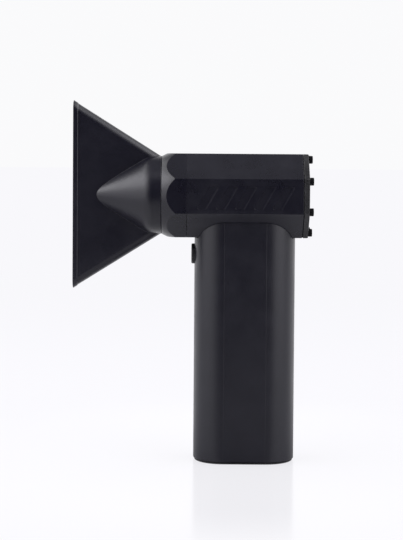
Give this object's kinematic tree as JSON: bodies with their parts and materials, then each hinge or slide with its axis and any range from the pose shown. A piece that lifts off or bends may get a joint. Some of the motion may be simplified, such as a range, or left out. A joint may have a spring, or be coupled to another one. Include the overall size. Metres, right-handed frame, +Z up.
{
  "type": "handheld car dryer blower",
  "caption": "Pistol-shaped battery jet blower for drying cars, with an octagonal barrel, a flat fan nozzle and an upright handle.",
  "frame": {"origin": "middle of the resting face under the handle", "axes": "-X where the air goes, through the nozzle; +X the intake; +Z up along the handle; Y across"},
  "size_m": [0.1288, 0.045, 0.1946],
  "materials": {
    "nozzle_plastic": "fine matt moulded black",
    "anodised_black": "black coated, satin",
    "grip_plastic": "matt moulded black",
    "rim_black": "dark matt",
    "cover_grey": "dark grey satin",
    "black_steel": "black oxide",
    "rubber_black": "matt",
    "bare_aluminium": "machined",
    "bright_steel": "ground",
    "core_steel": "laminated",
    "copper_wire": "enamelled",
    "magnet_grey": "plated",
    "board_green": "solder mask",
    "chip_black": "moulded",
    "cell_wrap": "shrink wrap over a steel can",
    "nickel": "plated",
    "holder_plastic": "moulded",
    "wire_insulation": "silicone"
  },
  "bodies": {
    "housing": {"nose_ring": "anodised_black", "head_body": "anodised_black", "rear_cover": "cover_grey", "intake_grille": "black_steel", "cover_screw_1": "black_steel", "cover_screw_2": "black_steel", "cover_screw_3": "black_steel", "cover_screw_4": "black_steel", "cover_screw_5": "black_steel", "cover_screw_6": "black_steel", "cover_screw_7": "black_steel", "cover_screw_8": "black_steel", "fan_shroud": "bare_aluminium", "damper_front": "rubber_black", "damper_rear": "rubber_black", "tail_cone": "bare_aluminium", "motor_core": "core_steel", "motor_coil_1": "copper_wire", "motor_coil_2": "copper_wire", "motor_coil_3": "copper_wire", "motor_end_bell": "bare_aluminium", "bearing_rear": "bright_steel", "bearing_front": "bright_steel", "motor_lead_1": "wire_insulation", "motor_lead_2": "wire_insulation", "motor_lead_3": "wire_insulation", "neck_screw_1": "black_steel", "neck_screw_2": "black_steel", "handle_shell": "grip_plastic", "base_cap": "rim_black", "base_screw_1": "black_steel", "base_screw_2": "black_steel", "switch_body": "chip_black", "control_board": "board_green", "charge_port": "nickel", "power_capacitor": "chip_black", "driver_chip": "chip_black", "mosfet_1": "chip_black", "mosfet_2": "chip_black", "mosfet_3": "chip_black", "battery_cell_1": "cell_wrap", "battery_cell_2": "cell_wrap", "cell_holder_bottom": "holder_plastic", "cell_holder_top": "holder_plastic", "cell_link_strip": "nickel", "cell_tab_positive": "nickel", "cell_tab_negative": "nickel"},
    "rotor": {"impeller": "bare_aluminium", "spinner_nut": "bright_steel", "motor_shaft": "bright_steel", "rotor_magnet": "magnet_grey"},
    "button": {"push_button": "rim_black", "switch_plunger": "nickel"},
    "seal": {"o_ring": "rubber_black"},
    "nozzle_unit": {"nozzle": "nozzle_plastic"}
  },
  "joints": [
    {"name": "impeller_spin", "type": "hinge", "parent": "housing", "child": "rotor", "pos_m": [0, 0, 0.1434], "axis": [1, 0, 0], "continuous": true},
    {"name": "button_press", "type": "slide", "parent": "housing", "child": "button", "axis": [1, 0, 0], "range_m": [0, 0.0012], "stiffness_N_per_m": 1500, "springref_m": -0.0004},
    {"name": "nozzle_swivel", "type": "hinge", "parent": "housing", "child": "seal", "pos_m": [-0.049, 0, 0.1434], "axis": [1, 0, 0], "continuous": true},
    {"name": "nozzle_pull_off", "type": "slide", "parent": "seal", "child": "nozzle_unit", "axis": [-1, 0, 0], "range_m": [0, 0.012]}
  ]
}
